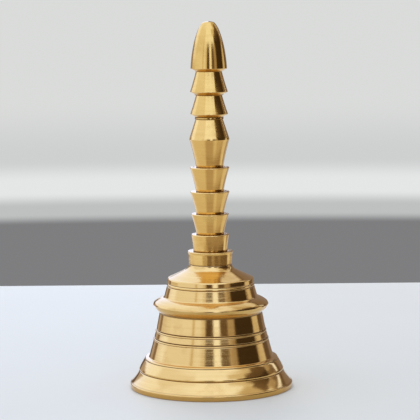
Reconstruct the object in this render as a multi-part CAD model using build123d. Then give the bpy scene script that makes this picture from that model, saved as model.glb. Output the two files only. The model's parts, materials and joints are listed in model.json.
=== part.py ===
from build123d import *
import math
import os

# A brass puja bell: a turned bell body and a handle of stacked turned pieces, drawn together
# by one tie rod that also carries the clapper. Z is the bell's axis, the lip rests on Z = 0,
# and the clapper's main swing is in the XZ plane. Every length is in millimetres.

# --- Driving dimensions: the whole bell ------------------------------------------------------
TOTAL_HEIGHT = 180.0
LIP_RADIUS = 40.1
SEAT_Z = 61.0            # flat on the crown where the handle stands

# --- The bell body ---------------------------------------------------------------------------
CEILING_Z = 55.0         # underside of the crown
SEAT_RADIUS = 10.6
SHOULDER_RADIUS = 21.3   # corner between the crown and the drum
SHOULDER_Z = 53.5
DRUM_BASE_RADIUS = 23.2
FLANGE_RADIUS = 28.4
FLANGE_Z = 41.4          # middle of the flange's rounded rim
BEAD_Z = (28.4, 24.3)    # two fine turned beads round the waist
BEAD_HEIGHT = 0.9
BEAD_STANDS_OUT = 0.22
GROOVE_ABOVE_BEAD = 0.45 # half width and depth of the V groove over each bead
GROOVE_BELOW_BEAD = 0.15 # and of the finer one under it
BEAD_WALL_RADII = (27.1, 28.2)    # the wall's radius at each bead
WALL_SLOPE = 0.25        # how fast the waist's wall widens downwards
WAIST_RADIUS_TOP = 25.3
WAIST_TOP_Z = 37.4
WAIST_RADIUS_FOOT = 30.9
LEDGE_Z = 15.2
LEDGE_RADIUS = 32.8
NOTCH_RADIUS = 35.3
NOTCH_Z = 8.5
RIM_HEIGHT = 2.55
LIP_THICKNESS = 3.3
INSIDE_WALL = ((27.9, 15.5), (23.1, 34.0), (21.1, 44.0), (18.9, 50.5))
CEILING_RADIUS = 14.5

# --- The handle, from the crown upwards ------------------------------------------------------
NECK_HEIGHT = 6.6
NECK_RADIUS = 10.95
NECK_LIP_RADIUS = 11.2
NECK_LIP_HEIGHT = 0.9
RING_HEIGHT = 8.3
RING_RADII = (8.35, 9.3)            # bottom and top
CUP_HEIGHTS = (10.1, 11.0, 11.9)    # lower, middle and upper cup
CUP_LIP_RADII = (9.25, 9.65, 9.65)
WAIST_RADIUS = 6.75                 # narrow end of every cup
BICONE_HEIGHT = 23.5
BICONE_RADIUS = 9.8
BICONE_END_RADII = (6.6, 6.7)       # bottom and top
BICONE_WIDEST = 13.7                # height of its widest edge above its base
CONE_HEIGHTS = (11.8, 11.5)         # lower and upper cone
CONE_BASE_RADIUS = 9.2
CONE_TOP_RADIUS = 6.35
CONE_NECK_RADIUS = 7.0
CONE_NECK_HEIGHTS = (1.1, 0.15)
DISH_HEIGHT = 1.2                   # how far a cone or the finial is dished under its base
FINIAL_RADIUS = 8.9
FINIAL_CURVE = ((7.55, 12.2), (5.3, 4.5), (3.6, 1.4), (2.6, 0.45))    # radius, depth below the tip
EDGE = 0.25                         # rounding left on turned edges

# --- Tie rod, nut and washer -----------------------------------------------------------------
ROD_RADIUS = 3.0
THREAD_CLEARANCE = 0.05
BORE_RADIUS = 3.15
SPIGOT_RADIUS = 4.6                 # each handle piece is located in the one below
SPIGOT_LENGTH = 1.0
RECESS_RADIUS = SPIGOT_RADIUS + 0.1
RECESS_DEPTH = SPIGOT_LENGTH + 0.2
TAPPED_DEPTH = 13.0                 # thread inside the finial
DRILLED_PAST_THREAD = 1.5
DRILL_POINT_HEIGHT = 1.7
ROD_CHAMFER = 0.5
WASHER_RADIUS = 8.0
WASHER_THICKNESS = 1.5
WASHER_CHAMFER = 0.3
NUT_ACROSS_FLATS = 10.0
NUT_FACE_RADIUS = 4.75              # flat ring left on each face of the nut
NUT_HEIGHT = 5.0
THREAD_BELOW_NUT = 2.5
TANG_THICKNESS = 3.0

# --- Clapper ---------------------------------------------------------------------------------
LINK_WIRE_RADIUS = 0.9
PIVOT_CLEARANCE = 0.1
PIVOT_Z = 43.0                      # cross hole in the rod's tang
LINK_LENGTH = 7.4                   # between the centre lines of the link's two short runs
LINK_HALF_WIDTH = 3.4
LINK_BEND = 1.8
LINK_SEAM = 0.2                     # butt gap where the bent wire closes
STEM_RADIUS = 1.0
EYE_HALF_WIDTH = 2.7
EYE_LENGTH = 7.0
EYE_BEND = 1.7
KNOB_RADIUS = 1.5
BALL_HOLE_CLEARANCE = 0.05
BALL_RADIUS = 7.5
BALL_Z = 12.6
BALL_FLAT_RADIUS = 2.3
COLLAR_RADIUS = 1.9
COLLAR_HEIGHT = 1.2
RIVET_HEIGHT = 0.8


def outline(*points):
    """Edges through half-plane points (radius, z), closed back to the first.

    A third number on a point makes the edge that ends there an arc, which bulges to the
    left of its direction of travel by that many millimetres, or to the right when negative.
    """
    edges = []
    for here, there in zip(points, points[1:] + points[:1]):
        start = Vector(here[0], 0, here[1])
        end = Vector(there[0], 0, there[1])
        bulge = there[2] if len(there) == 3 else 0
        if bulge:
            along = (end - start).normalized()
            left = Vector(-along.Z, 0, along.X)
            middle = (start + end) * 0.5 + left * bulge
            edges.append(ThreePointArc(start, middle, end))
        else:
            edges.append(Line(start, end))
    return edges


def dome_bulge(radius, height):
    """Bulge of the arc that makes a spherical dome of this radius and height on the axis."""
    sphere = (radius**2 + height**2) / (2 * height)
    half_chord = math.hypot(radius, height) / 2
    return sphere - math.sqrt(sphere**2 - half_chord**2)


def turned(*points):
    """A solid turned about the bell's axis from its half outline."""
    return revolve(make_face(outline(*points)), Axis.Z)


def cylinder(radius, z_low, z_high):
    """A cylinder on the bell's axis."""
    return Pos(0, 0, z_low) * Cylinder(radius, z_high - z_low,
                                       align=(Align.CENTER, Align.CENTER, Align.MIN))


def bead(z, radius):
    """Outline points for one fine bead on the waist's wall, with a groove above and below it.

    radius is the wall's radius at the bead's middle.
    """
    half = BEAD_HEIGHT / 2
    top = z + half
    bottom = z - half
    top_radius = radius - WALL_SLOPE * half
    bottom_radius = radius + WALL_SLOPE * half
    return (
        (top_radius - WALL_SLOPE * GROOVE_ABOVE_BEAD, top + GROOVE_ABOVE_BEAD),
        (top_radius - GROOVE_ABOVE_BEAD, top),
        (top_radius, top - 0.1),
        (bottom_radius, bottom + 0.1, BEAD_STANDS_OUT),
        (bottom_radius - GROOVE_BELOW_BEAD, bottom),
        (bottom_radius + WALL_SLOPE * GROOVE_BELOW_BEAD, bottom - GROOVE_BELOW_BEAD),
    )


def bell_shell():
    """The cast and turned bell body, hollow, with a hole in its crown for the rod."""
    groove_radius = SHOULDER_RADIUS - 0.1
    groove_z = SHOULDER_Z - 1.75
    recess_z = SEAT_Z - RECESS_DEPTH
    crown = (
        (BORE_RADIUS, recess_z),
        (RECESS_RADIUS, recess_z),
        (RECESS_RADIUS, SEAT_Z),
        (SEAT_RADIUS, SEAT_Z),
        (SEAT_RADIUS + 2.4, SEAT_Z - 2.9, -0.55),
        (SHOULDER_RADIUS - 0.8, SHOULDER_Z + 1.0, -0.05),
        (SHOULDER_RADIUS, SHOULDER_Z, 0.25),
    )
    drum = (
        (SHOULDER_RADIUS + 0.1, SHOULDER_Z - 1.5),
        (groove_radius, groove_z),
        (groove_radius + 0.1, groove_z - 0.15),
        (groove_radius + 0.3, groove_z - 1.15, 0.2),
        (groove_radius + 0.1, groove_z - 1.35),
        (groove_radius + 0.4, groove_z - 1.6),
        (DRUM_BASE_RADIUS - 0.3, FLANGE_Z + 4.0),
        (DRUM_BASE_RADIUS + 0.4, FLANGE_Z + 3.3, -0.15),
    )
    flange = (
        (FLANGE_RADIUS - 0.65, FLANGE_Z + 1.2, 0.25),
        (FLANGE_RADIUS, FLANGE_Z - 0.1, 0.12),
        (FLANGE_RADIUS - 0.25, FLANGE_Z - 0.6),
        (WAIST_RADIUS_TOP + 0.4, WAIST_TOP_Z + 0.6, 0.3),
    )
    waist = (
        (WAIST_RADIUS_TOP, WAIST_TOP_Z),
        *bead(BEAD_Z[0], BEAD_WALL_RADII[0]),
        *bead(BEAD_Z[1], BEAD_WALL_RADII[1]),
        (WAIST_RADIUS_FOOT - 0.3, LEDGE_Z + 0.3),
        (WAIST_RADIUS_FOOT, LEDGE_Z, -0.08),
    )
    flare = (
        (LEDGE_RADIUS - 0.5, LEDGE_Z - 0.2),
        (LEDGE_RADIUS, LEDGE_Z - 0.7, 0.12),
        (LEDGE_RADIUS - 0.1, LEDGE_Z - 0.85),
        (LEDGE_RADIUS + 0.2, LEDGE_Z - 1.1),
        (NOTCH_RADIUS + 0.3, NOTCH_Z + 1.0, 0.1),
        (NOTCH_RADIUS, NOTCH_Z, 0.15),
        (NOTCH_RADIUS + 0.4, NOTCH_Z - 0.3),
        (LIP_RADIUS - 0.5, RIM_HEIGHT + 0.3, -0.25),
    )
    rim = (
        (LIP_RADIUS, RIM_HEIGHT - 0.4, 0.15),
        (LIP_RADIUS - 0.1, 0.3),
        (LIP_RADIUS - 0.4, 0),
        (LIP_RADIUS - LIP_THICKNESS, 0),
        (LIP_RADIUS - LIP_THICKNESS - 0.5, 0.6),
    )
    hollow_foot, *hollow_wall = INSIDE_WALL
    inside = (
        (*hollow_foot, 0.9),
        *hollow_wall,
        (CEILING_RADIUS, CEILING_Z, -1.2),
        (BORE_RADIUS, CEILING_Z),
    )
    return turned(*crown, *drum, *flange, *waist, *flare, *rim, *inside)


def handle_piece(z_low, z_high, sides):
    """A turned handle piece: a spigot below, a recess above and a bore right through.

    sides runs up the outside, from the bottom face to the top face.
    """
    recess_z = z_high - RECESS_DEPTH
    return turned(
        (BORE_RADIUS, z_low - SPIGOT_LENGTH),
        (SPIGOT_RADIUS, z_low - SPIGOT_LENGTH),
        (SPIGOT_RADIUS, z_low),
        *sides,
        (RECESS_RADIUS, z_high),
        (RECESS_RADIUS, recess_z),
        (BORE_RADIUS, recess_z),
    )


def neck_socket(z_low, z_high):
    """The wide collar that stands on the crown."""
    return handle_piece(z_low, z_high, (
        (SEAT_RADIUS, z_low),
        (NECK_RADIUS, z_high - NECK_LIP_HEIGHT),
        (NECK_LIP_RADIUS, z_high - EDGE),
        (NECK_LIP_RADIUS - EDGE, z_high),
    ))


def plain_ring(z_low, z_high):
    """The nearly straight ring between the collar and the cups."""
    foot_radius, top_radius = RING_RADII
    return handle_piece(z_low, z_high, (
        (foot_radius, z_low),
        (top_radius, z_high - EDGE, 0.1),
        (top_radius - EDGE, z_high),
    ))


def cup(z_low, z_high, lip_radius):
    """A cup that flares upwards, its side slightly hollow."""
    return handle_piece(z_low, z_high, (
        (WAIST_RADIUS, z_low),
        (lip_radius, z_high - EDGE, 0.2),
        (lip_radius - EDGE, z_high),
    ))


def bicone(z_low, z_high):
    """The double cone in the middle of the handle."""
    foot_radius, top_radius = BICONE_END_RADII
    widest_z = z_low + BICONE_WIDEST
    return handle_piece(z_low, z_high, (
        (foot_radius, z_low),
        (BICONE_RADIUS - 0.1, widest_z - 0.3, 0.2),
        (BICONE_RADIUS, widest_z),
        (BICONE_RADIUS - 0.15, widest_z + 0.7),
        (top_radius, z_high),
    ))


def cone(z_low, z_high, neck_height):
    """A cone that flares downwards, dished under its base to a short neck."""
    base_z = z_low + neck_height + DISH_HEIGHT
    return handle_piece(z_low, z_high, (
        (CONE_NECK_RADIUS, z_low),
        (CONE_NECK_RADIUS, z_low + neck_height),
        (CONE_BASE_RADIUS - EDGE, base_z),
        (CONE_BASE_RADIUS, base_z + EDGE),
        (CONE_TOP_RADIUS, z_high, 0.1),
    ))


def finial(z_low):
    """The bullet-shaped cap, tapped from below for the rod."""
    tapped_radius = ROD_RADIUS + THREAD_CLEARANCE
    drilled_z = z_low + TAPPED_DEPTH + DRILLED_PAST_THREAD
    base_z = z_low + DISH_HEIGHT
    flank, shoulder, nose, tip = ((radius, TOTAL_HEIGHT - depth) for radius, depth in FINIAL_CURVE)
    tip_radius, tip_height = FINIAL_CURVE[-1]
    return turned(
        (tapped_radius, z_low - SPIGOT_LENGTH),
        (SPIGOT_RADIUS, z_low - SPIGOT_LENGTH),
        (SPIGOT_RADIUS, z_low),
        (CONE_TOP_RADIUS + 0.3, z_low),
        (FINIAL_RADIUS - EDGE, base_z),
        (FINIAL_RADIUS, base_z + EDGE),
        (*flank, -0.2),
        (*shoulder, -0.17),
        (*nose, -0.12),
        (*tip, -0.1),
        (0, TOTAL_HEIGHT, -dome_bulge(tip_radius, tip_height)),
        (0, drilled_z + DRILL_POINT_HEIGHT),
        (tapped_radius, drilled_z),
    )


def tie_rod(finial_z, nut_z):
    """The threaded rod from the finial to the clapper, flattened and drilled at its foot."""
    top = finial_z + TAPPED_DEPTH
    shaft_foot = nut_z - THREAD_BELOW_NUT
    shaft = turned(
        (0, PIVOT_Z - ROD_RADIUS),
        (ROD_RADIUS, PIVOT_Z - ROD_RADIUS),
        (ROD_RADIUS, top - ROD_CHAMFER),
        (ROD_RADIUS - ROD_CHAMFER, top),
        (0, top),
    )
    # Two flats leave the tang, and a half-round foot lets the link swing round it.
    flat_depth = ROD_RADIUS - TANG_THICKNESS / 2
    flat_height = shaft_foot - (PIVOT_Z - ROD_RADIUS)
    for side in (-1, 1):
        flat_y = side * (TANG_THICKNESS / 2 + flat_depth / 2)
        flat_z = shaft_foot - flat_height / 2
        shaft -= Pos(0, flat_y, flat_z) * Box(4 * ROD_RADIUS, flat_depth, flat_height)
    below = Pos(0, 0, PIVOT_Z - ROD_RADIUS) * Box(4 * ROD_RADIUS, 4 * ROD_RADIUS, 2 * ROD_RADIUS)
    across = Pos(0, 0, PIVOT_Z) * Rot(90, 0, 0)
    shaft -= below - across * Cylinder(ROD_RADIUS, 4 * ROD_RADIUS)
    shaft -= across * Cylinder(LINK_WIRE_RADIUS + PIVOT_CLEARANCE, 4 * ROD_RADIUS)
    return shaft


def crown_washer():
    """The flat washer that bears on the ceiling."""
    z_low = CEILING_Z - WASHER_THICKNESS
    return turned(
        (BORE_RADIUS, z_low),
        (WASHER_RADIUS - WASHER_CHAMFER, z_low),
        (WASHER_RADIUS, z_low + WASHER_CHAMFER),
        (WASHER_RADIUS, CEILING_Z),
        (BORE_RADIUS, CEILING_Z),
    )


def hex_nut(z_low):
    """The nut that draws the handle down on to the bell."""
    corner_radius = NUT_ACROSS_FLATS / 2 / math.cos(math.pi / 6)
    blank = RegularPolygon(corner_radius, 6)
    nut = Pos(0, 0, z_low) * extrude(blank, NUT_HEIGHT)
    # The corners are turned down at 30 degrees on both faces.
    barrel_radius = corner_radius + 0.2
    drop = (barrel_radius - NUT_FACE_RADIUS) * math.tan(math.radians(30))
    z_high = z_low + NUT_HEIGHT
    barrel = turned(
        (0, z_low),
        (NUT_FACE_RADIUS, z_low),
        (barrel_radius, z_low + drop),
        (barrel_radius, z_high - drop),
        (NUT_FACE_RADIUS, z_high),
        (0, z_high),
    )
    nut &= barrel
    return nut - cylinder(ROD_RADIUS + THREAD_CLEARANCE, z_low, z_high)


def wire_loop(plane, half_x, half_y, bend):
    """Centre line of a bent wire loop, open by LINK_SEAM in the middle of its +x side."""
    gap = LINK_SEAM / 2
    return plane * FilletPolyline(
        (half_x, gap),
        (half_x, half_y),
        (-half_x, half_y),
        (-half_x, -half_y),
        (half_x, -half_y),
        (half_x, -gap),
        radius=bend,
    )


def round_wire(path, radius):
    """Round wire along a path."""
    return sweep((path ^ 0) * Circle(radius), path=path)


def clapper_link():
    """The bent wire link that hangs in the tang, closed up at one side."""
    half_length = LINK_LENGTH / 2
    plane = Plane(origin=(0, 0, PIVOT_Z - half_length), x_dir=(0, 1, 0), z_dir=(1, 0, 0))
    return round_wire(wire_loop(plane, LINK_HALF_WIDTH, half_length, LINK_BEND), LINK_WIRE_RADIUS)


def clapper_stem(eye_z):
    """The clapper's wire: an eye above, a collar over the ball and a riveted end below.

    Both ends of the eye's wire run into a forged knob on top of the stem.
    """
    half_length = EYE_LENGTH / 2
    knob_z = eye_z - EYE_LENGTH
    plane = Plane(origin=(0, 0, eye_z - half_length), x_dir=(0, 0, -1), z_dir=(0, 1, 0))
    eye = round_wire(wire_loop(plane, half_length, EYE_HALF_WIDTH, EYE_BEND), STEM_RADIUS)
    flat_drop = math.sqrt(BALL_RADIUS**2 - BALL_FLAT_RADIUS**2)
    ball_top = BALL_Z + flat_drop
    ball_foot = BALL_Z - flat_drop
    shank = turned(
        (0, ball_foot - RIVET_HEIGHT),
        (COLLAR_RADIUS, ball_foot, -dome_bulge(COLLAR_RADIUS, RIVET_HEIGHT)),
        (STEM_RADIUS, ball_foot),
        (STEM_RADIUS, ball_top),
        (COLLAR_RADIUS, ball_top),
        (COLLAR_RADIUS, ball_top + 0.7 * COLLAR_HEIGHT),
        (STEM_RADIUS, ball_top + COLLAR_HEIGHT, 0.1),
        (STEM_RADIUS, knob_z - 2.0),
        (KNOB_RADIUS, knob_z - 1.2, 0.1),
        (KNOB_RADIUS, knob_z + 0.9),
        (KNOB_RADIUS - 0.4, knob_z + 1.3, -0.1),
        (0, knob_z + 1.3),
    )
    return shank + eye


def clapper_ball():
    """The brass ball, drilled for the stem, with a small flat round each end of the hole."""
    ball = Pos(0, 0, BALL_Z) * Sphere(BALL_RADIUS)
    flat_drop = math.sqrt(BALL_RADIUS**2 - BALL_FLAT_RADIUS**2)
    ball &= cylinder(BALL_RADIUS + 1, BALL_Z - flat_drop, BALL_Z + flat_drop)
    hole_radius = STEM_RADIUS + BALL_HOLE_CLEARANCE
    return ball - cylinder(hole_radius, BALL_Z - BALL_RADIUS, BALL_Z + BALL_RADIUS)


def make_parts():
    """Every piece of the bell by name. The handle is stacked up from the crown."""
    parts = {"bell_shell": bell_shell()}

    z = SEAT_Z
    parts["neck_socket"] = neck_socket(z, z + NECK_HEIGHT)
    z += NECK_HEIGHT
    parts["plain_ring"] = plain_ring(z, z + RING_HEIGHT)
    z += RING_HEIGHT
    for place, height, lip in zip(("lower", "middle", "upper"), CUP_HEIGHTS, CUP_LIP_RADII):
        parts["cup_" + place] = cup(z, z + height, lip)
        z += height
    parts["centre_bicone"] = bicone(z, z + BICONE_HEIGHT)
    z += BICONE_HEIGHT
    for place, height, neck in zip(("lower", "upper"), CONE_HEIGHTS, CONE_NECK_HEIGHTS):
        parts["cone_" + place] = cone(z, z + height, neck)
        z += height
    parts["finial"] = finial(z)

    nut_z = CEILING_Z - WASHER_THICKNESS - NUT_HEIGHT
    parts["tie_rod"] = tie_rod(z, nut_z)
    parts["crown_washer"] = crown_washer()
    parts["hex_nut"] = hex_nut(nut_z)

    # The stem's eye rests on the link's lower run.
    eye_z = PIVOT_Z - LINK_LENGTH + LINK_WIRE_RADIUS + STEM_RADIUS + PIVOT_CLEARANCE
    parts["clapper_link"] = clapper_link()
    parts["clapper_stem"] = clapper_stem(eye_z)
    parts["clapper_ball"] = clapper_ball()
    return parts


os.makedirs("parts", exist_ok=True)
for name, solid in make_parts().items():
    export_step(solid, f"parts/{name}.step")
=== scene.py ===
import math
from types import SimpleNamespace

import bpy
import numpy as np
from mathutils import Matrix, Vector, noise
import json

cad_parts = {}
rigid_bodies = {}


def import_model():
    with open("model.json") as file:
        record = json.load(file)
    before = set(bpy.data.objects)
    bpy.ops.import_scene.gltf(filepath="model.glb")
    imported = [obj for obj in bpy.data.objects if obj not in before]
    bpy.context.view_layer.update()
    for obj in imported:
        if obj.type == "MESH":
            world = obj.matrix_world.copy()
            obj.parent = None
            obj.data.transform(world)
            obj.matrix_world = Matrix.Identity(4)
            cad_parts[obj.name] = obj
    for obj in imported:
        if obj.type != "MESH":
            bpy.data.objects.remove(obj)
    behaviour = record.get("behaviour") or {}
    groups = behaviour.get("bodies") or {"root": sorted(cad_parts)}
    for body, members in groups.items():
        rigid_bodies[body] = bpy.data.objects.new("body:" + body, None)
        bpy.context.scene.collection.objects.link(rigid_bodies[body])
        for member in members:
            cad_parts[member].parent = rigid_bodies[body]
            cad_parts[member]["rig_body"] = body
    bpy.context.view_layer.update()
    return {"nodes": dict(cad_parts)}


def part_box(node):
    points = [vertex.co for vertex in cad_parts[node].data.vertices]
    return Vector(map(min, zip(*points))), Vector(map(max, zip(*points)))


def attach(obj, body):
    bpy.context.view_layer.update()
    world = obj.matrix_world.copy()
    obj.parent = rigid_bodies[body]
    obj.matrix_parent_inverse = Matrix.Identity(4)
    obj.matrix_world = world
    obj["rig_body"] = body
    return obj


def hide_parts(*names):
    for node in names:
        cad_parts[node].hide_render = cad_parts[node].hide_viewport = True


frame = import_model()

# A turned brass hand bell, standing on a pale counter in a softly lit room. Lengths are metres.
MM = 0.001

# --- Camera ----------------------------------------------------------------------------------
CAMERA_DISTANCE = 1.0          # level distance from the bell's axis
CAMERA_HEIGHT = 0.2023
CAMERA_PITCH = 6.54            # degrees down from level
CAMERA_ROLL = -0.5             # degrees
CAMERA_LENS = 175.7            # millimetres
SENSOR_WIDTH = 36.0            # millimetres


def make_camera():
    """The camera in front of the bell, a little above it and looking slightly down."""
    data = bpy.data.cameras.new("camera")
    data.lens = CAMERA_LENS
    data.sensor_width = SENSOR_WIDTH
    data.clip_start = 0.01
    camera = bpy.data.objects.new("camera", data)
    turn = Matrix.Rotation(math.radians(90 - CAMERA_PITCH), 4, "X")
    roll = Matrix.Rotation(math.radians(CAMERA_ROLL), 4, "Z")
    camera.matrix_world = Matrix.Translation((0, -CAMERA_DISTANCE, CAMERA_HEIGHT)) @ turn @ roll
    bpy.context.scene.collection.objects.link(camera)
    bpy.context.scene.camera = camera


# --- Node helpers ----------------------------------------------------------------------------
class Nodes:
    """Short calls for building one node tree. An input is a value or another node's output."""

    def __init__(self, tree):
        self.tree = tree
        tree.nodes.clear()

    def put(self, value, socket):
        """Gives an input socket a value, or joins another node's output to it."""
        if isinstance(value, bpy.types.NodeSocket):
            self.tree.links.new(value, socket)
        else:
            socket.default_value = value

    def add(self, kind, settings=None, **inputs):
        """A node of this kind. Inputs go by name, with _ for a space, or by number, as i0."""
        node = self.tree.nodes.new("ShaderNode" + kind)
        for name, value in (settings or {}).items():
            setattr(node, name, value)
        for name, value in inputs.items():
            key = int(name[1:]) if name[0] == "i" and name[1:].isdigit() else name.replace("_", " ")
            self.put(value, node.inputs[key])
        return node

    def math(self, operation, *values):
        """The result of a sum, a product or another calculation on numbers."""
        inputs = {f"i{n}": value for n, value in enumerate(values)}
        return self.add("Math", {"operation": operation}, **inputs).outputs[0]

    def place(self):
        """Where each point is on its object."""
        return self.add("TexCoord").outputs["Object"]

    def split(self, vector):
        """The three numbers of a vector."""
        return self.add("SeparateXYZ", Vector=vector).outputs

    def noise(self, place, scale, detail, roughness=0.5):
        """Cloudy noise from 0 to 1."""
        inputs = {"Vector": place, "Scale": scale, "Detail": detail, "Roughness": roughness}
        return self.add("TexNoise", **inputs).outputs[0]

    def mix(self, factor, a, b, blend="MIX"):
        """Colour a mixed with colour b."""
        node = self.add("Mix", {"data_type": "RGBA", "blend_type": blend})
        for number, value in ((0, factor), (6, a), (7, b)):
            self.put(value, node.inputs[number])
        return node.outputs[2]

    def ramp(self, value, start, end, low=0.0, high=1.0, kind="LINEAR"):
        """low up to start, high from end on, and a straight or smooth slope between them."""
        inputs = {"Value": value, "From_Min": start, "From_Max": end, "To_Min": low, "To_Max": high}
        return self.add("MapRange", {"interpolation_type": kind}, **inputs).outputs[0]

    def smooth(self, value, start, end, low=0.0, high=1.0):
        """The same with an S-shaped slope."""
        return self.ramp(value, start, end, low, high, "SMOOTHSTEP")

    def blend(self, mask, amount, a, b):
        """Colour a, mixed towards b by this amount where the mask is 1."""
        return self.mix(self.math("MULTIPLY", mask, amount), a, b)

    def finish(self, shader, kind="OutputMaterial"):
        """Joins a shader to the tree's output."""
        self.tree.links.new(shader.outputs[0], self.add(kind).inputs[0])


def new_material(name):
    """A material with an empty node tree, and the calls that fill it."""
    material = bpy.data.materials.new(name)
    material.use_nodes = True
    return material, Nodes(material.node_tree)


def colour(red, green, blue):
    """An opaque colour."""
    return (red, green, blue, 1.0)


def scaled(tone, red, green, blue):
    """A colour with its channels scaled."""
    return colour(tone[0] * red, tone[1] * green, tone[2] * blue)


# --- Studio ----------------------------------------------------------------------------------
# What the bell reflects: panels of light and shade, each one over those before it. Azimuths are
# degrees from the camera's side towards the right, elevations are degrees above the level:
# azimuth from and to, its softness, elevation from and to, its softness, brightness.
PANELS = (
    (-200, 200, 1, 40, 200, 10, 1.15),      # ceiling
    (-60, 60, 30, 52, 76, 8, 1.24),
    (66, 150, 14, 43, 66, 8, 0.72),
    (-200, -95, 30, 4, 60, 8, 1.22),        # the bright side, left and behind
    (-98, -20, 10, -20, 42, 8, 1.06),       # left wall
    (-30, 44, 4, 23, 48, 3, 1.22),          # high in front
    (30, 76, 8, 34, 46, 6, 0.86),
    (45, 110, 4, -20, 31, 6, 0.06),         # dark side, right
    (62, 109, 4, 26, 38, 4, 0.16),
    (80, 114, 4, 36, 46, 4, 0.20),
    (138, 168, 10, 36, 60, 8, 0.92),
    (-41, -36, 4, -10, 23, 4, 0.78),        # strips in front, level with the bell
    (-12, 5, 3, -10, 23, 3, 0.13),
    (5, 19, 3, -10, 23, 3, 1.24),
    (19, 37, 3, -10, 23, 3, 0.18),
    (37, 52, 4, -10, 22, 4, 0.52),
    (102, 123, 4, -10, 10, 5, 0.78),        # right edge
    (123, 200, 4, -16, 36, 6, 0.16),
    (111, 125, 4, 22, 36, 4, 0.52),
    (108, 128, 4, 12, 22, 2, 0.24),
    (129, 136, 3, 10, 34, 4, 1.15),
    (144, 200, 6, -16, 32, 6, 0.30),
    (-172, -156, 4, -11, 9, 5, 0.16),       # left edge
    (-156, -143, 4, -11, 9, 5, 0.52),
    (-143, -131, 4, -11, 9, 5, 0.30),
    (-200, 200, 1, -200, -10, 4, 0.96),     # table close in front
    (-42, -18, 14, -20, -10, 4, 0.55),
    (-18, 100, 6, -20, -10, 4, 0.18),
    (7, 23, 5, -20, -10, 4, 0.36),
    (43, 54, 6, -20, -10, 4, 0.30),
    (120, 170, 6, -24, -12, 4, 0.45),
    (-200, 200, 1, -200, -18, 6, 0.84),     # table further off
    (-28, 92, 14, -28, -18, 6, 0.42),
    (-28, 28, 22, -200, -27, 6, 0.58),
    (50, 100, 14, -200, -27, 6, 0.68),
)
BACK_BRIGHTNESS = 0.85         # where there is no panel
# The panels' tint goes from dim at brightness 0 through plain to bright.
PLAIN_LEVEL = 0.8
BRIGHT_LEVEL = 1.2
DIM_TINT = colour(1.0, 0.68, 0.46)
PLAIN_TINT = colour(1.0, 1.0, 1.0)
BRIGHT_TINT = colour(1.0, 1.20, 1.80)
FILL_COLOUR = colour(0.60, 0.61, 0.60)  # even light from all round on what isn't a mirror
# The plain grey and white room behind, as the camera sees it: its lowest band, and for each
# band above that the elevation where it starts, its softness and its colour.
BACKDROP_LOWEST = colour(0.21, 0.21, 0.215)
BACKDROP = (
    (-6.75, 0.3, colour(0.52, 0.53, 0.53)),
    (-6.20, 0.4, colour(0.78, 0.79, 0.79)),
    (-5.40, 0.6, colour(0.62, 0.63, 0.63)),
    (-4.20, 1.6, colour(0.70, 0.71, 0.70)),
)

# The counter, in metres from the bell's axis.
FLOOR_NEAR = 0.11              # radius of the part that the brass mirrors
FLOOR_FRONT = 3.0
FLOOR_SIDE = 3.0
FLOOR_BACK = 0.335
FLOOR_CORNERS = 96
FLOOR_TONES = (colour(0.79, 0.80, 0.80), colour(0.84, 0.85, 0.85))

# Lights: name, place, what they point at, width, height, power in watts, tint
LIGHTS = (
    ("ceiling", (-0.3, 0.1, 2.2), (0, 0, 0), 2.4, 2.4, 8.0, (1.0, 1.0, 0.98)),
    ("window", (-0.25, 1.3, 1.0), (0, 0, 0.05), 0.7, 0.6, 6.0, (1.0, 1.0, 0.93)),
)


def between(nodes, value, start, end, soft):
    """1 from start to end and 0 outside, with soft ends."""
    rise = nodes.smooth(value, start - soft / 2, start + soft / 2)
    fall = nodes.smooth(value, end - soft / 2, end + soft / 2, 1.0, 0.0)
    return nodes.math("MULTIPLY", rise, fall)


def make_world():
    """Soft panels of light all round for the brass to reflect, and a plain pale backdrop."""
    world = bpy.data.worlds.new("studio")
    world.use_nodes = True
    bpy.context.scene.world = world
    nodes = Nodes(world.node_tree)
    x, y, z = nodes.split(nodes.add("TexCoord").outputs["Generated"])
    azimuth = nodes.math("DEGREES", nodes.math("ARCTAN2", x, nodes.math("MULTIPLY", y, -1.0)))
    elevation = nodes.math("DEGREES", nodes.math("ARCSINE", z))
    light = BACK_BRIGHTNESS
    for left, right, side_soft, low, high, end_soft, brightness in PANELS:
        across = between(nodes, azimuth, left, right, side_soft)
        up = between(nodes, elevation, low, high, end_soft)
        step = nodes.math("SUBTRACT", brightness, light)
        light = nodes.math("MULTIPLY_ADD", nodes.math("MULTIPLY", across, up), step, light)
    tint = nodes.mix(nodes.ramp(light, 0.0, PLAIN_LEVEL), DIM_TINT, PLAIN_TINT)
    tint = nodes.mix(nodes.ramp(light, PLAIN_LEVEL, BRIGHT_LEVEL), tint, BRIGHT_TINT)
    grey = nodes.add("CombineColor", Red=light, Green=light, Blue=light).outputs[0]
    reflected = nodes.mix(1.0, tint, grey, "MULTIPLY")
    room = BACKDROP_LOWEST
    for start, soft, shade in BACKDROP:
        room = nodes.mix(nodes.smooth(elevation, start - soft / 2, start + soft / 2), room, shade)
    path = nodes.add("LightPath")
    shown = nodes.mix(path.outputs["Is Camera Ray"], reflected, room)
    shown = nodes.mix(path.outputs["Is Diffuse Ray"], shown, FILL_COLOUR)
    nodes.finish(nodes.add("Background", Color=shown), "OutputWorld")


def floor_material():
    """Pale stone with a dull polish and faint cloudy veins."""
    material, nodes = new_material("pale_counter")
    cloud = nodes.noise(nodes.place(), scale=6.0, detail=4.0)
    nodes.finish(nodes.add("BsdfPrincipled", Base_Color=nodes.mix(cloud, *FLOOR_TONES),
                           Roughness=0.24, Specular_IOR_Level=0.003))
    return material


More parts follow.
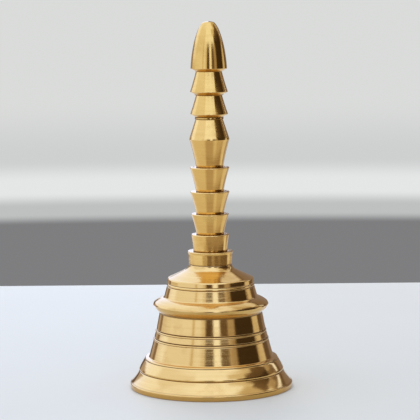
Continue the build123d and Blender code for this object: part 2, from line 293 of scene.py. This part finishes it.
def make_floor():
    """A pale counter: a round part near the bell, and the rest, which the brass doesn't mirror."""
    material = floor_material()
    inner, outer = [], []
    for k in range(FLOOR_CORNERS):
        turn = 2 * math.pi * (k + 0.5) / FLOOR_CORNERS
        across, away = math.cos(turn), math.sin(turn)
        depth = FLOOR_BACK if away > 0 else FLOOR_FRONT
        reach = min(FLOOR_SIDE / abs(across), depth / abs(away))
        inner.append((FLOOR_NEAR * across, FLOOR_NEAR * away, 0))
        outer.append((reach * across, reach * away, 0))
    disc = bpy.data.meshes.new("floor_near")
    disc.from_pydata(inner, [], [tuple(range(FLOOR_CORNERS))])
    rest = bpy.data.meshes.new("floor_far")
    ring = [(k, (k + 1) % FLOOR_CORNERS) for k in range(FLOOR_CORNERS)]
    rest.from_pydata(inner + outer, [],
                     [(k, FLOOR_CORNERS + k, FLOOR_CORNERS + j, j) for k, j in ring])
    for mesh in (disc, rest):
        mesh.materials.append(material)
        floor = bpy.data.objects.new(mesh.name, mesh)
        bpy.context.scene.collection.objects.link(floor)
        floor.visible_glossy = mesh is disc


def make_light(name, place, aim, width, height, power, tint):
    """A rectangular soft light that the camera doesn't see."""
    data = bpy.data.lights.new(name, "AREA")
    data.shape = "RECTANGLE"
    data.size = width
    data.size_y = height
    data.energy = power
    data.color = tint
    light = bpy.data.objects.new(name, data)
    light.location = place
    light.rotation_euler = (Vector(aim) - Vector(place)).to_track_quat("-Z", "Y").to_euler()
    light.visible_camera = False
    light.visible_glossy = False
    bpy.context.scene.collection.objects.link(light)


# --- Turned pieces ---------------------------------------------------------------------------
ON_AXIS = 0.001 * MM               # closer than this to the axis is on it
MERGE_GAP = 0.002 * MM             # outline points closer than this are one
CORNER_TURN = math.radians(18)     # a sharper turn of the outline is an edge
DEEP_TURN = math.radians(65)       # an inside corner this sharp takes full tarnish and painted shade
FOOT_SHADE_AND_STAIN = 0.6                   # painted shade and some tarnish round a piece's foot, where it meets the next
EDGE_RADIUS = 0.20 * MM            # polished roundness of an edge
CREASE_RADIUS = 0.09 * MM          # and of an inside corner
ROUNDED_SHARE = 0.4                # the most of a run that the rounding at one end may take
CORNER_STEP = math.radians(25)     # turn between the rings of a rounded edge
RING_STEP = 0.55 * MM
GUARD_RING = 0.06 * MM             # gap from a rounded edge to the ring that holds its roundness
GUARD_SHARE = 0.3                  # only where the gap is less than this share of a step
SHADE_AND_STAIN_REACH = 0.07 * MM            # rings this near a corner take its tarnish and painted shade
WALL_GAP = 0.8 * MM                # a face with another wall this far outside it is an inside face
TURNING_DEPTH = 0.004 * MM         # waviness that the lathe tool leaves along the outline
TURNING_PITCH = 1.7 * MM
UV_LENGTH = 100 * MM               # outline length that takes one unit of the texture
FACES_AROUND = 128
BELL_FACES_AROUND = 180            # the bell is much wider than the other pieces


def half_outline(node):
    """The outline of a turned CAD node as points (radius, z), in order, and whether it closes."""
    mesh = frame["nodes"][node].data
    key_of = {}
    beside = {}
    for vertex in mesh.vertices:
        if abs(vertex.co.y) < ON_AXIS and vertex.co.x > -ON_AXIS:
            key = (round(vertex.co.x, 6), round(vertex.co.z, 6))
            key_of[vertex.index] = key
            beside.setdefault(key, set())
    for edge in mesh.edges:
        first, second = (key_of.get(n) for n in edge.vertices)
        if first and second and first != second:
            beside[first].add(second)
            beside[second].add(first)
    ends = [key for key, others in beside.items() if len(others) == 1]
    here = min(ends or beside, key=lambda key: (key[1], key[0]))
    chain = [here]
    before = None
    while True:
        onward = [key for key in beside[here] if key != before and key != chain[0]]
        if not onward or len(chain) > len(beside):
            break
        before, here = here, onward[0]
        chain.append(here)
    return [Vector(key) for key in chain], not ends


def signed_area(points):
    """The area inside an outline, above 0 when its points run anticlockwise."""
    following = points[1:] + points[:1]
    return sum(a.x * b.y - b.x * a.y for a, b in zip(points, following)) / 2


def outline_corners(points, closed):
    """What the outline does at each of its points.

    Gives each point's cut, which is how far its rounding reaches, the directions into it and
    onward from it, its turn, which is left at an outside corner, and its stain and shade: 0 when
    clean, down to -1 where tarnish and painted shade are full.
    """
    count = len(points)
    runs = count if closed else count - 1
    spans = [points[(n + 1) % count] - points[n] for n in range(runs)]
    corners = []
    for n in range(count):
        at_end = not closed and n in (0, count - 1)
        back, forth = spans[(n - 1) % runs], spans[n % runs]
        into, onward = back.normalized(), forth.normalized()
        turn = 0 if at_end else math.atan2(into.x * onward.y - into.y * onward.x, into.dot(onward))
        # A flat underside that turns up into a wall, where the piece meets the next: painted shade
        # with tarnish
        is_foot = turn > CORNER_TURN and into.x > 0.99 and onward.y > 0.5
        stain_and_shade = -FOOT_SHADE_AND_STAIN if is_foot else 0.0
        cut = 0
        if abs(turn) > CORNER_TURN:
            radius = EDGE_RADIUS if turn > 0 else CREASE_RADIUS
            cut = min(radius * math.tan(abs(turn) / 2), ROUNDED_SHARE * min(back.length, forth.length))
            # An inside corner takes tarnish and painted shade, more the sharper it is
            if turn < 0:
                stain_and_shade = -min(1, -turn / DEEP_TURN)
        elif at_end:
            into = onward = onward if n == 0 else into
        else:
            into = onward = (into * back.length + onward * forth.length).normalized()
        corners.append(SimpleNamespace(cut=cut, into=into, onward=onward, turn=turn, stain_and_shade=stain_and_shade))
    return corners


def run_shares(span, rounded_start, rounded_end):
    """Where rings go along one run of the outline, as shares of its length.

    A ring close beside each rounded edge keeps its roundness off the flat beyond it.
    """
    steps = max(1, round(span / RING_STEP))
    shares = [k / steps for k in range(steps + 1)]
    guard = GUARD_RING / span
    if guard < GUARD_SHARE / steps:
        if rounded_start:
            shares.insert(1, guard)
        if rounded_end:
            shares.insert(-1, 1 - guard)
    return shares


def curve_point(start, end, leaving, arriving, share):
    """A point of the smooth curve that leaves start and arrives at end with these slopes."""
    t, u = share, 1 - share
    place = start * (u * u * (1 + 2 * t)) + end * (t * t * (1 + 2 * u))
    return place + (leaving * (t * u * u) - arriving * (t * t * u))


def eased_outline(points, closed):
    """The outline with its edges rounded and its curves made smooth, in steps of RING_STEP.

    Gives points, and for each one 1 on a worn edge, which also takes a painted highlight, down to -1
    in an inside corner, which takes tarnish and painted shade, and 0 elsewhere.
    """
    if signed_area(points) < 0:
        points = points[::-1]
    corners = outline_corners(points, closed)
    count = len(points)
    line, edges = [], []
    for n in range(count if closed else count - 1):
        m = (n + 1) % count
        here, there = corners[n], corners[m]
        direction = (points[m] - points[n]).normalized()
        start = points[n] + direction * here.cut
        end = points[m] - direction * there.cut
        span = (end - start).length
        for share in run_shares(span, here.cut, there.cut):
            line.append(curve_point(start, end, here.onward * span, there.into * span, share))
            # Rings near a corner take its tarnish and painted shade
            near_start = share * span < SHADE_AND_STAIN_REACH
            near_end = (1 - share) * span < SHADE_AND_STAIN_REACH
            edges.append(here.stain_and_shade * near_start or there.stain_and_shade * near_end or 0.0)
        if there.cut:
            # The rounded corner, between this run and the next
            bend = max(2, round(abs(there.turn) / CORNER_STEP))
            after = points[m] + there.onward * there.cut
            for k in range(1, bend):
                t, u = k / bend, 1 - k / bend
                line.append(end * (u * u) + points[m] * (2 * u * t) + after * (t * t))
                edges.append(there.stain_and_shade or 1.0)
        elif m and (closed or m < count - 1):
            # The next run starts with this point
            line.pop()
            edges.pop()
    kept = [0]
    for n in range(1, len(line)):
        if (line[n] - line[kept[-1]]).length > MERGE_GAP:
            kept.append(n)
    return [line[n] for n in kept], [edges[n] for n in kept]


def is_inside(place, line):
    """Whether a point of the outline is in a hollow: more of the piece stands outside it."""
    for a, b in zip(line, line[1:]):
        if (a.y - place.y) * (b.y - place.y) < 0:
            crossing = a.x + (b.x - a.x) * (place.y - a.y) / (b.y - a.y)
            if crossing > place.x + WALL_GAP:
                return True
    return False


def waved_profile(node, line, edges, travel, closed):
    """The eased outline with the lathe tool's slight waviness, as (radius, z)."""
    count = len(line)
    profile = []
    for n, place in enumerate(line):
        before = line[n - 1] if n or closed else place
        after = line[(n + 1) % count] if n < count - 1 or closed else place
        out = Vector((after.y - before.y, before.x - after.x)).normalized()
        step = travel[n] / TURNING_PITCH
        # The noise adds up to 1.5 at most, so the wave only ever cuts in
        wave = noise_at(step, node) + 0.5 * noise_at(step * 2.7, node) - 1.5
        depth = TURNING_DEPTH * (-1.0 if edges[n] else wave)
        radius = max(0.0, place.x + out.x * depth) if place.x > ON_AXIS else 0.0
        profile.append((radius, place.y + out.y * depth * (radius > 0)))
    return profile


def lathe(profile, travel, closed, around):
    """The profile turned round the axis: vertices, each profile point's row of them, faces, UVs.

    travel is each point's distance along the outline, with one more for the way round when it
    closes.
    """
    rows, vertices = [], []
    for radius, z in profile:
        if radius == 0:
            # On the axis the whole row is one vertex
            rows.append([len(vertices)] * around)
            vertices.append((0, 0, z))
            continue
        rows.append(list(range(len(vertices), len(vertices) + around)))
        for k in range(around):
            turn = 2 * math.pi * k / around
            vertices.append((radius * math.cos(turn), radius * math.sin(turn), z))
    faces, uvs = [], []
    count = len(profile)
    for n in range(count if closed else count - 1):
        near, far = rows[n], rows[(n + 1) % count]
        for k in range(around):
            j = (k + 1) % around
            face = [(near[k], k, travel[n]), (near[j], k + 1, travel[n]),
                    (far[j], k + 1, travel[n + 1]), (far[k], k, travel[n + 1])]
            unique = [c for i, c in enumerate(face) if c[0] != face[i - 1][0]]
            if len(unique) > 2:
                faces.append([c[0] for c in unique])
                uvs.extend((c[1] / around, c[2] / UV_LENGTH) for c in unique)
    return vertices, rows, faces, uvs


def turned_piece(node, material, around=FACES_AROUND):
    """A lathe mesh that stands for a turned CAD node, made from the node's own outline.

    Its "edge" attribute says where it is worn, with a painted highlight, and where it takes
    tarnish and painted shade, and "inside" where it is hollow.
    """
    points, closed = half_outline(node)
    line, edges = eased_outline(points, closed)
    travel = [0.0]
    for a, b in zip(line, line[1:] + line[:1]):
        travel.append(travel[-1] + (b - a).length)
    profile = waved_profile(node, line, edges, travel, closed)
    vertices, rows, faces, uvs = lathe(profile, travel, closed, around)
    mesh = bpy.data.meshes.new(node + "_turned")
    mesh.from_pydata(vertices, [], faces)
    mesh.uv_layers.new(name="turning").data.foreach_set("uv", np.array(uvs, np.float32).ravel())
    mesh.polygons.foreach_set("use_smooth", [True] * len(faces))
    hidden = [float(is_inside(place, line)) for place in line]
    for label, amounts in (("edge", edges), ("inside", hidden)):
        values = [0.0] * len(vertices)
        for row, amount in zip(rows, amounts):
            for index in row:
                values[index] = amount
        mesh.attributes.new(label, "FLOAT", "POINT").data.foreach_set("value", values)
    mesh.update()
    piece = bpy.data.objects.new(node + "_turned", mesh)
    bpy.context.scene.collection.objects.link(piece)
    mesh.materials.append(material)
    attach(piece, frame["nodes"][node]["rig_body"])
    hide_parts(node)


def noise_at(place, name):
    """Smooth noise from 0 to 1 along a line, a different one for each name."""
    row = sum(ord(letter) for letter in name) * 0.37
    return noise.noise(Vector((place, row, 0.5))) * 0.5 + 0.5


# --- Materials -------------------------------------------------------------------------------
# Colour of a worn edge, lighter also as a painted highlight
WORN_HIGHLIGHT_BRASS = colour(0.88, 0.66, 0.33)
LEAST_RADIUS = 0.1 * MM            # marks stop turning nearer the axis than this
MARK_DEPTH = 0.04 * MM             # relief of tool marks and pits
THREAD_DEPTH = 0.5 * MM
THREAD_RUNOUT = 0.6 * MM           # height over which the thread deepens at its foot
FOOT_SHADE_FULL = 2.0 * MM          # painted shade, with some tarnish, is full on the bell's foot up to this height
FOOT_SHADE_END = 3.2 * MM              # and fades out at this one


def turned_place(nodes, around, along):
    """A texture place for marks that run round a turned piece.

    around and along scale the marks' detail round the axis and along the outline.
    """
    x, y = nodes.split(nodes.place())[:2]
    square = nodes.math("MULTIPLY_ADD", x, x, nodes.math("MULTIPLY", y, y))
    radius = nodes.math("MAXIMUM", nodes.math("SQRT", square), LEAST_RADIUS)
    travel = nodes.split(nodes.add("UVMap", {"uv_map": "turning"}).outputs[0])[1]
    return nodes.add("CombineXYZ",
                     X=nodes.math("MULTIPLY", nodes.math("DIVIDE", x, radius), around),
                     Y=nodes.math("MULTIPLY", nodes.math("DIVIDE", y, radius), around),
                     Z=nodes.math("MULTIPLY", travel, along)).outputs[0]


def brass(name, base, dark, roughness):
    """Turned and polished brass.

    It has fine lines round the axis, wider tool bands, soft cloudy patches where it has
    dulled, browner tarnish with painted shade in the creases and at the foot, a brighter,
    smoother edge where it is handled, its brightness partly a painted highlight, and an
    unpolished inside.
    """
    material, nodes = new_material(name)
    place = nodes.place()
    fine = nodes.noise(turned_place(nodes, around=1.2, along=420.0), scale=1.0, detail=3.0,
                       roughness=0.65)
    bands = nodes.noise(turned_place(nodes, around=0.7, along=75.0), scale=1.0, detail=2.0)
    clouds = nodes.noise(place, scale=95.0, detail=4.0, roughness=0.6)
    specks = nodes.noise(place, scale=900.0, detail=2.0)
    edge = nodes.add("Attribute", {"attribute_name": "edge"}).outputs["Fac"]
    inside = nodes.add("Attribute", {"attribute_name": "inside"}).outputs["Fac"]
    height = nodes.split(place)[2]
    # Painted shade, with some tarnish, at the bell's foot
    foot = nodes.smooth(height, FOOT_SHADE_END, FOOT_SHADE_FULL)

    dull = nodes.smooth(clouds, 0.50, 0.72)
    crease_tarnish_and_shade = nodes.smooth(edge, -0.05, -0.8)
    worn_and_highlight = nodes.smooth(edge, 0.05, 0.9)
    tone = nodes.blend(dull, 0.35, base, dark)
    tone = nodes.blend(nodes.smooth(bands, 0.35, 0.75), 0.22, tone, dark)
    tone = nodes.blend(nodes.smooth(fine, 0.55, 0.80), 0.25, tone, dark)
    # Tarnish with painted shade in the creases and where pieces meet, in a near-black brown
    tone = nodes.blend(crease_tarnish_and_shade, 0.9, tone, scaled(dark, 0.3, 0.22, 0.15))
    # Worn edges, brightened also as a painted highlight
    tone = nodes.blend(worn_and_highlight, 0.6, tone, WORN_HIGHLIGHT_BRASS)
    # Painted shade at the bell's foot
    tone = nodes.blend(foot, 0.60, tone, dark)
    tone = nodes.blend(inside, 0.75, tone, dark)

    gloss = nodes.math("MULTIPLY_ADD", dull, 0.07, roughness)
    gloss = nodes.math("MULTIPLY_ADD", fine, 0.10, gloss)
    gloss = nodes.math("MULTIPLY_ADD", crease_tarnish_and_shade, 0.3, gloss)
    gloss = nodes.math("SUBTRACT", gloss, nodes.math("MULTIPLY", worn_and_highlight, 0.03))
    gloss = nodes.math("MULTIPLY_ADD", inside, 0.30, gloss)

    relief = nodes.math("MULTIPLY_ADD", bands, 1.6, fine)
    relief = nodes.math("MULTIPLY_ADD", specks, 0.10, relief)
    bump = nodes.add("Bump", Strength=0.35, Distance=MARK_DEPTH, Height=relief)

    tangent = nodes.add("Tangent", {"direction_type": "UV_MAP", "uv_map": "turning"}).outputs[0]
    nodes.finish(nodes.add("BsdfPrincipled", Base_Color=tone, Metallic=1.0, Roughness=gloss,
                           Anisotropic=0.7, Anisotropic_Rotation=0.25, Tangent=tangent,
                           Normal=bump.outputs[0]))
    return material


def small_metal(name, base, dark, roughness, stretch, thread=None):
    """Metal of the small pieces: cloudy dulling, tiny pits and fine marks drawn out one way.

    stretch scales the marks' detail on each axis. thread is a screw thread's pitch, and the
    height above which it is cut.
    """
    material, nodes = new_material(name)
    place = nodes.place()
    drawn = nodes.add("VectorMath", {"operation": "MULTIPLY"}, i0=place, i1=stretch).outputs[0]
    marks = nodes.noise(drawn, scale=1.0, detail=3.0, roughness=0.6)
    clouds = nodes.noise(place, scale=240.0, detail=4.0, roughness=0.6)
    pits = nodes.add("TexVoronoi", Vector=place, Scale=1400.0).outputs["Distance"]

    dull = nodes.smooth(clouds, 0.42, 0.68)
    pitted = nodes.smooth(pits, 0.28, 0.10)
    tone = nodes.blend(dull, 0.55, base, dark)
    tone = nodes.blend(nodes.smooth(marks, 0.50, 0.75), 0.35, tone, dark)
    tone = nodes.blend(pitted, 0.45, tone, scaled(dark, 0.5, 0.45, 0.4))
    gloss = nodes.math("MULTIPLY_ADD", dull, 0.16, roughness)
    gloss = nodes.math("MULTIPLY_ADD", marks, 0.10, gloss)
    relief = nodes.math("MULTIPLY_ADD", pitted, -0.35, marks)
    bump = nodes.add("Bump", Strength=0.5, Distance=MARK_DEPTH, Height=relief)
    if thread:
        pitch, foot = thread
        x, y, z = nodes.split(place)
        turn = nodes.math("DIVIDE", nodes.math("ARCTAN2", y, x), 2 * math.pi)
        along = nodes.math("SUBTRACT", nodes.math("DIVIDE", z, pitch), turn)
        flank = nodes.math("PINGPONG", along, 0.5)
        cut = nodes.smooth(z, foot, foot + THREAD_RUNOUT)
        ridge = nodes.math("MULTIPLY", nodes.math("MULTIPLY", flank, 2.0), cut)
        bump = nodes.add("Bump", Strength=1.0, Distance=THREAD_DEPTH, Height=ridge,
                         Normal=bump.outputs[0])
        # Painted shade in the thread's roots
        root = nodes.math("MULTIPLY", nodes.smooth(flank, 0.22, 0.02), cut)
        tone = nodes.blend(root, 0.6, tone, scaled(dark, 0.5, 0.5, 0.5))
    nodes.finish(nodes.add("BsdfPrincipled", Base_Color=tone, Metallic=1.0, Roughness=gloss,
                           Normal=bump.outputs[0]))
    return material


# --- The scene -------------------------------------------------------------------------------
bpy.context.scene.view_settings.view_transform = "Standard"
make_camera()
make_world()
make_floor()
for light in LIGHTS:
    make_light(*light)

# The turned pieces: four brasses, from the bright bell to its dull clapper.
polished = brass("polished_brass_looks", base=colour(0.75, 0.485, 0.165),
                 dark=colour(0.56, 0.31, 0.08), roughness=0.05)
handle = brass("handle_brass_looks", base=colour(0.775, 0.495, 0.150),
               dark=colour(0.57, 0.31, 0.07), roughness=0.055)
cap = brass("cap_brass_looks", base=colour(0.73, 0.455, 0.125),
            dark=colour(0.54, 0.29, 0.06), roughness=0.06)
dull = brass("clapper_brass_looks", base=colour(0.62, 0.41, 0.15),
             dark=colour(0.36, 0.21, 0.07), roughness=0.20)
turned_piece("bell_shell", polished, around=BELL_FACES_AROUND)
for node in ("neck_socket", "plain_ring", "cup_lower", "cup_middle", "cup_upper", "centre_bicone"):
    turned_piece(node, handle)
for node in ("cone_lower", "cone_upper", "finial"):
    turned_piece(node, cap)
turned_piece("clapper_ball", dull)

# The rod, its nut and washer, the link and the stem keep their shapes and only take a finish.
ZINC, ZINC_DARK = colour(0.60, 0.62, 0.63), colour(0.38, 0.38, 0.36)
WIRE, WIRE_DARK = colour(0.58, 0.39, 0.15), colour(0.32, 0.19, 0.07)
M6_PITCH = 1.0 * MM
THREAD_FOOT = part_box("hex_nut")[0][2] - 2.5 * MM    # the thread starts a little below the nut
# Node, slot, colour, dulled colour, roughness, marks' detail on each axis, thread
SMALL_PIECES = (
    ("tie_rod", "zinc_steel", ZINC, ZINC_DARK, 0.30, (300, 300, 2500), (M6_PITCH, THREAD_FOOT)),
    ("crown_washer", "zinc_steel", ZINC, ZINC_DARK, 0.34, (2200, 300, 300), None),
    ("hex_nut", "zinc_steel", ZINC, ZINC_DARK, 0.28, (300, 300, 1800), None),
    ("clapper_link", "link_wire", WIRE, WIRE_DARK, 0.28, (2500, 2500, 200), None),
    ("clapper_stem", "clapper_brass", WIRE, WIRE_DARK, 0.26, (2500, 2500, 200), None),
)
for node, slot, base, dark, roughness, stretch, thread in SMALL_PIECES:
    piece = frame["nodes"][node]
    finish = small_metal(node + "_finish", base, dark, roughness, stretch, thread)
    if not piece.data.materials:
        piece.data.materials.append(finish)
    for material_slot in piece.material_slots:
        material_slot.material = finish
